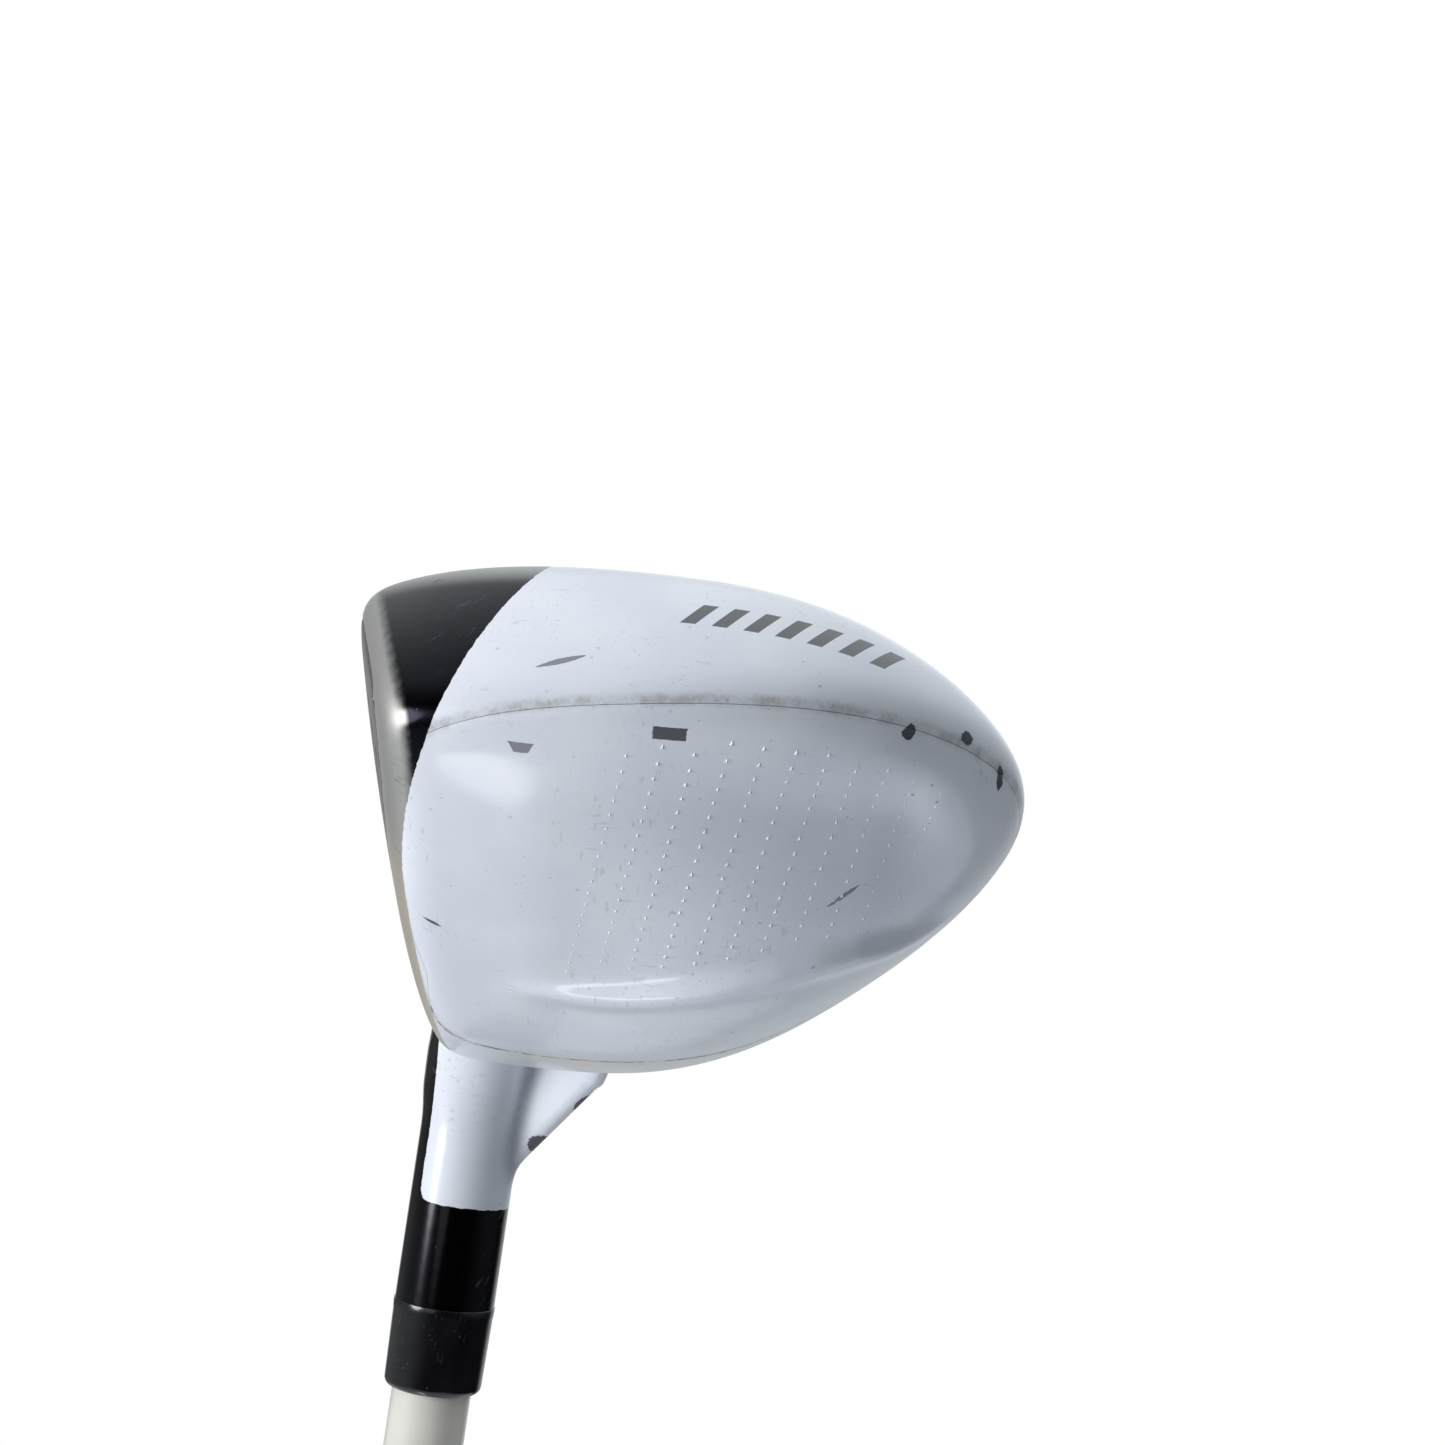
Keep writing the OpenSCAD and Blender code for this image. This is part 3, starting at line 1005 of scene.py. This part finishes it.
def tread_depth(turn, height):
    """How far the tread is pressed in, in mm."""
    lozenge = (np.sin(turn * 18 + height * 0.9) * np.sin(turn * 18 - height * 0.9))
    pressed = smooth(lozenge, -0.15, 0.35)
    band = (height - 3) % 32
    inside_band = smooth(band, 2.5, 3.5) * smooth(-band, -31.0, -30.0)
    body_only = smooth(height, 10, 12) * smooth(-height, -252, -250)
    ring = np.exp(-((band - 1) / 0.5) ** 2)
    return (0.28 * pressed * inside_band + 0.3 * ring) * body_only


def make_grip():
    heights = np.concatenate([np.linspace(sleeve_low + HAIR, LIP_FROM, GRIP_ALONG),
                              LIP, [sleeve_high - 0.03]])
    turns = np.arange(GRIP_AROUND) * 2 * np.pi / GRIP_AROUND
    line = np.array(SLEEVE)
    turn, height = np.meshgrid(turns, heights, indexing="ij")
    r = np.interp(height, line[:, 1], line[:, 0]) - tread_depth(turn, height)
    outer = np.stack([r * np.cos(turn), r * np.sin(turn), height], -1)
    bore = np.stack([np.stack([SLEEVE_BORE * np.cos(turns), SLEEVE_BORE * np.sin(turns),
                               np.full(GRIP_AROUND, h)], -1)
                     for h in (heights[-1], heights[0])], 1)
    loop = np.concatenate([outer, bore], 1)
    return link_mesh("grip_sleeve_moulded", loop.reshape(-1, 3) * MM,
                     wrapped(GRIP_AROUND, loop.shape[1]), 50)


grip = make_grip()
print("grip:", len(grip.data.polygons), "faces")

# %% [markdown]
# ## Paint on the head
# The casting is sprayed satin white, with the front left in a dark hard plating. A used club
# shows it: dirt packed along the toe's joint, knocks through to grey primer, a dusting of
# specks and a few long scuffs. Shade is painted in as well: a darker white over the crown's
# panel and a blue-grey in the creases between the casting's parts. Each of those is a mask
# between 0 and 1, laid over the white in the order in which it happened.

# %% Masks shared by the head's finishes
CHIPS = [  # shape, middle, half-sizes along and down in head axes in mm, raggedness, colour
    ("lens", (17, 77.5, 20.5), (2.3, 0.1, -1.0), (0.13, -0.08, 0.3), 0.6, "grey"),
    ("bowl", (14.5, 73.5, 28.5), (1.25, 0, 0), (0, -0.48, 0.26), 0.4, "grey"),
    ("block", (28.5, 75.5, 26), (1.6, 0, 0), (0, -0.5, 0.4), 0.3, "black"),
    ("lens", (50.5, 71, 19), (0.1, -0.6, 0.6), (0.4, 0.1, 0.1), 1.0, "black"),
    ("lens", (56, 67, 16), (0.1, -0.45, 0.6), (0.28, 0.12, 0), 1.2, "black"),
    ("lens", (60.5, 59.5, 15), (-0.2, -1.2, 0.9), (0.15, 0.12, 0.2), 0.8, "black"),
    ("lens", (9.5, -15, 30), (1.0, 0.95, -0.9), (1.0, -0.3, 0.9), 0.9, "black"),
    ("lens", (14.5, -11, 25), (0.9, 0.85, -0.8), (0.22, -0.06, 0.2), 0.9, "black"),
    ("lens", (4, 47, 34), (0.8, -0.7, 0), (0.1, 0.22, 0.05), 1.0, "black"),
    ("lens", (46.5, 53, 28.5), (1.5, 1.1, -1.2), (0.14, -0.2, 0.05), 2.4, "grey"),
]
SHADES = {name: srgb(*levels) for name, levels in {
    "white": (229, 234, 243), "toned white and painted shade": (205, 212, 228), "heel_edge_cream": (206, 205, 192),
    "sole": (150, 150, 152), "painted_crease_shade": (112, 120, 142), "joint dirt": (134, 130, 128),
    "crack": (92, 82, 92), "rust": (214, 96, 84), "speck": (96, 94, 104),
    "scuff": (120, 118, 128), "bar": (24, 24, 30), "grey": (118, 117, 132),
    "black": (52, 50, 64), "plating": (14, 14, 22), "scratch": (92, 95, 110),
    "rim_reflection_colour": (190, 190, 188), "warm rim reflection": (216, 210, 196)}.items()}


def chip_mask(finish, here, wobble, shape, middle, along, down, ragged):
    """1 inside a small ragged knock: a pointed lens, a bowl with a flat top, or a block."""
    off = finish.node("VectorMath", {"operation": "SUBTRACT"}, i0=here, i1=middle)
    a, b = (finish.node("VectorMath", {"operation": "DOT_PRODUCT"}, 1, i0=off,
                        i1=tuple(Vector(way) / Vector(way).length_squared))
            for way in (along, down))
    size = {"lens": lambda: a * a + abs(b),
            "bowl": lambda: (-b | b) | (abs(a) + (b + 1) * 0.22),
            "block": lambda: abs(a) | abs(b)}[shape]()
    far = finish.node("VectorMath", {"operation": "LENGTH"}, 1, i0=off)
    return (size + (wobble - 0.5) * ragged).rise(1.04, 0.94) & far.rise(3.5, 3.0)


def all_chips(finish, here):
    """Masks of the grey and of the black knocks."""
    wobble = finish.noise(here, 2.2, 5.0, 3.0, 0.6)
    masks = {}
    for *knock, depth in CHIPS:
        mask = chip_mask(finish, here, wobble, *knock)
        masks[depth] = masks[depth] | mask if depth in masks else mask
    return masks["grey"], masks["black"]


def specks(finish, here, scale, seed, rare):
    """Small scattered dots: the middles of rare cells."""
    cells = finish.node("TexVoronoi", {"feature": "F1"}, Vector=here, Scale=scale)
    patch = finish.noise(here, scale * 0.35, 2.0, seed)
    return cells.rise(0.16, 0.08) & patch.rise(rare, rare + 0.03)


def scuffs(finish, here, x, y, z, seed, rare):
    """Hairline scratches: noise stretched along one direction."""
    fine = finish.noise(finish.stretch(here, x, y, z), 1.0, 4.0, seed, 0.6)
    patch = finish.noise(here, 0.09, 2.0, seed + 5)
    return fine.rise(rare, rare + 0.05) & patch.rise(0.48, 0.6)


def bars_mask(x, y, z, wobble):
    """A run of slanted painted blocks on the toe's skirt, a plain pattern with no letters."""
    slanted = x + (z - 12) * 0.55
    block = ((slanted - 27.6) / 3.1).fract()
    solid = block.near(0.42, 0.3).rise(0.05, 0.12) & z.near(12.0, 1.9).rise(0.03, 0.08)
    inside = slanted.rise(27.5, 27.6) & slanted.rise(49.2, 49.1) & y.rise(60, 61)
    return solid & inside & wobble.rise(0.74, 0.68)


print(len(CHIPS), "knocks,", len(SHADES), "colours")

# %% [markdown]
# ## Laying the paint
# The white goes on first, then each layer of wear and of painted shade as one mask and one
# colour. In front of the paint's edge lies the dark plating, with a light grey painted along the
# front's turned edge as a painted reflection, and low on the toe. The same masks set the
# roughness and a shallow bump, so a knock is dull and sunk as well as grey.

# %% Paint the head


def rim_reflection_mask(x, y, z, wobble):
    """Painted reflection along the front's turned edge, and a grey low on the toe."""
    front = (z * math.tan(LOFT) - FACE_AHEAD - x + face_bow(y, z)) * math.cos(LOFT)
    turned_edge = (front + (wobble - 0.5) * 0.5).rise(-3.7, -2.4) & y.rise(6, 12)
    return turned_edge | (z.rise(8.5, 4.5) & y.rise(50, 60)) * 0.75


def head_paint(name):
    f = Finish(name, IOR=1.5, Specular_IOR_Level=0.5, Coat_Roughness=0.12)
    here = f.place("head")
    x, y, z = here.xyz()
    edge, seam = f.number("paint"), f.number("seam")
    fine, broad = f.noise(here, 1.3, 4.0, 1.0), f.noise(here, 0.07, 3.0, 2.0)
    tight = f.noise(here, 5.0, 3.0, 4.0, 0.7)
    paint = (edge + (fine - 0.5) * 0.3 + (tight - 0.5) * 0.2).rise(-0.04, 0.04)
    # Painted shade: a darker white over the crown's panel, towards the heel and the back.
    painted_panel_shade = seam.rise(-2, -9) & x.rise(14, 46) & y.rise(39, 47)
    sole = z.rise(7.5, 4.0) & y.rise(8, 12)
    # Painted shade: a blue-grey laid in the creases between shell, stem and web.
    painted_crease_shade = f.number("painted_crease_shade").rise(2.6, 0.2)
    toe_seam = seam.near(0.35, 1.0) & y.rise(50, 60)
    dirt = toe_seam * (0.2 + 0.8 * f.noise(here, 0.5, 6.0, 7.0, 0.7).rise(0.4, 0.64))
    # A cream tint along the heel, from the crown's joint downwards.
    heel_edge_cream = seam.rise(-2.5, 0.5) & y.rise(26, 16) & y.rise(-6, 0) & x.rise(4, 12)
    crack = seam.near(0.1, 0.28) & y.rise(30, 26)
    rust = crack & x.near(17.5, 3.5) & fine.rise(0.42, 0.5)
    dots = (specks(f, here, 0.62, 9.0, 0.56) | specks(f, here, 1.1, 10.0, 0.6)) & y.rise(2, 8)
    rubbed = (scuffs(f, here, 1.6, 0.25, 1.6, 11.0, 0.6)
              | scuffs(f, here, 0.3, 1.8, 1.2, 12.0, 0.62))
    light, dark = all_chips(f, here)
    # The white darkens in broad random patches, and over the crown's panel as painted shade.
    colour = f.mix(broad.rise(0.3, 0.7) * 0.5 + painted_panel_shade * 0.5, SHADES["white"],
                   SHADES["toned white and painted shade"])
    for mask, shade in (
            (sole * (0.25 + 0.5 * scuffs(f, here, 0.15, 2.2, 0.4, 6.0, 0.52)), "sole"),
            (painted_crease_shade * (0.3 + 0.25 * fine), "painted_crease_shade"),
            (dirt * 0.6, "joint dirt"),
            (heel_edge_cream * 0.5, "heel_edge_cream"),
            (crack * f.noise(here, 0.7, 3.0, 8.0).rise(0.38, 0.55) * 0.85, "crack"),
            (rust * 0.8, "rust"),
            (dots * (0.25 + 0.3 * x.rise(20, 60)), "speck"),
            (rubbed * 0.22, "scuff"),
            (bars_mask(x, y, z, tight) * 0.93, "bar"),
            (light * 0.9, "grey"),
            (dark * 0.95, "black")):
        colour = f.mix(mask, colour, SHADES[shade])
    scratch = scuffs(f, here, 0.3, 1.6, 0.35, 13.0, 0.6) | specks(f, here, 1.4, 14.0, 0.6)
    # A light grey, warmer to the heel, is painted on the plating: a painted reflection along the
    # front's turned edge, and also low on the toe.
    painted_rim_reflection = rim_reflection_mask(x, y, z, fine)
    plating = SHADES["plating"]
    rim_reflection_colour = f.mix(y.rise(64, 48), SHADES["rim_reflection_colour"], SHADES["warm rim reflection"])
    for mask, shade in ((painted_rim_reflection * 0.9, rim_reflection_colour), (scratch * 0.5, SHADES["scratch"])):
        plating = f.mix(mask, plating, shade)
    knocked = light | dark
    rough = (0.34 + 0.1 * broad + 0.12 * (tight - 0.5) + 0.25 * (knocked | dirt)) * paint
    rough = rough + (1 - paint) * (0.16 + 0.06 * broad + 0.3 * scratch + 0.34 * painted_rim_reflection)
    film = f.bump(paint * 0.09 - knocked * 0.12 - crack * 0.1 - dirt * 0.03, 0.001)
    peel = f.bump(fine * 0.012 + tight * 0.006, 0.001, 0.6, film)
    return f.wear(Base_Color=f.mix(paint, plating, colour), Roughness=rough,
                  Metallic=(1 - paint) * 0.9, Coat_Weight=(paint | y.rise(0, -6)) * 0.45,
                  Normal=peel)


casting_paint = head_paint("satin_white_casting")
crown_paint = head_paint("satin_white_crown")
print("head painted:", len(casting_paint.node_tree.nodes), "nodes")

# %% [markdown]
# ## Steel, cellulose and lacquer
# The other finishes are simpler. The face is dark plated steel rubbed bright by balls, the
# ferrule is turned cellulose with light scuffs, and the shaft wears a cream lacquer that lets
# a trace of the carbon wrap through.

# %% Face, marks, ferrule and shaft


def face_steel():
    f = Finish("plated_face_steel", IOR=2.2, Metallic=0.85)
    here = f.place("head")
    _, y, z = here.xyz()
    brushed = f.noise(f.stretch(here, 0.3, 0.25, 9.0), 1.0, 4.0, 1.0)
    worn = f.noise(here, 0.16, 4.0, 2.0) * (y.near(40, 22) & z.near(15, 13))
    colour = f.mix(brushed * 0.5 + worn * 0.6, srgb(120, 118, 118), srgb(205, 203, 198))
    hits = specks(f, here, 0.9, 3.0, 0.6)
    colour = f.mix(hits * 0.6, colour, srgb(70, 70, 74))
    return f.wear(Base_Color=colour, Roughness=0.3 + brushed * 0.2,
                  Normal=f.bump(brushed * 0.01 - hits * 0.03, 0.001, 0.7))


def mark_paint():
    f = Finish("raised_white_marks", Roughness=0.3, Coat_Weight=0.3)
    here = f.place("head")
    return f.wear(Base_Color=f.mix(f.noise(here, 0.4), srgb(234, 239, 247), srgb(224, 230, 241)))


def ferrule_black():
    f = Finish("polished_ferrule_black", IOR=1.5, Coat_Weight=0.4, Coat_Roughness=0.08)
    here = f.place()
    marks = scuffs(f, here, 3.0, 3.0, 0.5, 2.0, 0.62) | specks(f, here, 1.2, 3.0, 0.62)
    haze = f.noise(here, 0.3, 4.0, 4.0)
    colour = f.mix(marks * 0.35 + haze * 0.03, srgb(7, 7, 10), srgb(96, 102, 112))
    return f.wear(Base_Color=colour, Roughness=0.14 + 0.14 * haze + 0.2 * marks,
                  Normal=f.bump(haze * 0.02 - marks * 0.02, 0.001, 0.6))


def shaft_lacquer():
    f = Finish("cream_shaft_lacquer", IOR=1.5, Coat_Weight=0.6, Coat_Roughness=0.06)
    here = f.place()
    z = here.xyz()[2]
    wrap = (z * 1.1 + f.noise(here, 0.2, 2.0, 1.0) * 1.4).sin()
    tone = f.noise(here, 0.05, 3.0, 2.0)
    colour = f.mix(wrap * 0.06 + tone * 0.35, srgb(226, 225, 219), srgb(208, 205, 196))
    first, second = (z.near(start + RING_WIDTH / 2, 1.3) for start in ring_starts)
    rings = first | second
    colour = f.mix(rings.rise(0.02, 0.06), colour, srgb(40, 42, 50))
    rubbed = scuffs(f, here, 2.0, 2.0, 0.15, 3.0, 0.6)
    colour = f.mix(rubbed * 0.3, colour, srgb(150, 148, 142))
    return f.wear(Base_Color=colour, Roughness=0.22 + 0.12 * tone + 0.2 * rubbed,
                  Normal=f.bump(wrap * 0.004 + tone * 0.02, 0.001, 0.5))


face_finish, mark_finish, ferrule_finish = face_steel(), mark_paint(), ferrule_black()
shaft_finish = shaft_lacquer()
print("shaft lacquer:", len(shaft_finish.node_tree.nodes), "nodes")

# %% [markdown]
# ## Rubber, and what is hidden
# The grip and its cap are matt rubber, dusty in the tread. The glue, the bond, the brass weight
# and the paper tape are never seen on a whole club, but they are part of it, so each of them
# gets a plain finish of its own too.

# %% Rubber, glue, brass and tape


def rubber(name, shade):
    f = Finish(name, IOR=1.5, Specular_IOR_Level=0.35)
    here = f.place()
    grain = f.noise(here, 4.0, 4.0, 1.0, 0.7)
    dust = f.noise(here, 0.12, 4.0, 2.0)
    colour = f.mix(dust.rise(0.35, 0.75) * 0.45, shade, srgb(66, 66, 66))
    return f.wear(Base_Color=colour, Roughness=0.66 + 0.2 * grain,
                  Normal=f.bump(grain * 0.05, 0.001, 0.8))


def set_glue(name, pale, dark, rough):
    f = Finish(name, IOR=1.48, Specular_IOR_Level=0.5)
    here = f.place()
    flow = f.noise(here, 0.5, 4.0, 1.0)
    return f.wear(Base_Color=f.mix(flow, pale, dark), Roughness=rough + 0.15 * flow,
                  Normal=f.bump(flow * 0.15, 0.001, 0.7))


def turned_brass():
    f = Finish("turned_brass", Metallic=1.0)
    here = f.place()
    grooves = (here.xyz()[2] * 14.0).sin()
    stain = f.noise(here, 0.5, 3.0, 1.0)
    return f.wear(Base_Color=f.mix(stain, srgb(205, 170, 92), srgb(160, 122, 66)),
                  Roughness=0.3 + 0.2 * stain, Normal=f.bump(grooves * 0.02, 0.001, 0.6))


def paper_tape():
    f = Finish("paper_grip_tape", IOR=1.45)
    here = f.place()
    x, _, z = here.xyz()
    weave = (z * 5.0).sin() * (x * 5.0).sin()
    fibre = f.noise(f.stretch(here, 1.0, 1.0, 4.0), 1.0, 4.0, 1.0)
    return f.wear(Base_Color=f.mix(fibre, srgb(214, 198, 158), srgb(186, 168, 128)),
                  Roughness=0.75 + 0.15 * fibre, Normal=f.bump(weave * 0.03 + fibre * 0.04, 0.001))


sleeve_finish = rubber("grip_rubber_black", srgb(30, 30, 32))
cap_finish = rubber("cap_rubber_black", srgb(24, 24, 26))
print("grip rubber:", len(sleeve_finish.node_tree.nodes), "nodes")

# %% [markdown]
# ## Dressing the frame
# Every new piece rides on the one body, gets its finish and stands for the node whose place
# it fills. The hidden nodes, the glue, the bond, the weight and the tape, keep their measured
# shapes and get finishes too.

# %% Hand each piece its finish and its place
PIECES = [
    (body, casting_paint, "head_white", "head_body"),
    (crown, crown_paint, "crown_white", "crown"),
    (marks, mark_finish, "crown_white", "crown"),
    (face, face_finish, "face_steel", "face_plate"),
    (ferrule, ferrule_finish, "ferrule_black", "ferrule"),
    (shaft, shaft_finish, "shaft_white", "shaft"),
    (grip, sleeve_finish, "grip_rubber", "grip_sleeve"),
    (cap, cap_finish, "cap_rubber", "grip_cap"),
]
for piece, finish, slot, node in PIECES:
    piece.data.materials.append(finish)
    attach(piece, "root")
    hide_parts(node)

KEPT = {
    "damping_glue": set_glue("damping_glue_amber", srgb(206, 178, 120), srgb(170, 138, 82), 0.4),
    "epoxy_bond": set_glue("bond_epoxy_tan", srgb(198, 190, 160), srgb(168, 158, 124), 0.3),
    "tip_weight": turned_brass(),
    "grip_tape": paper_tape(),
}
for node, finish in KEPT.items():
    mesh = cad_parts[node].data
    mesh.materials.clear()
    mesh.materials.append(finish)
print(len(PIECES), "pieces made,", len(KEPT), "nodes kept")
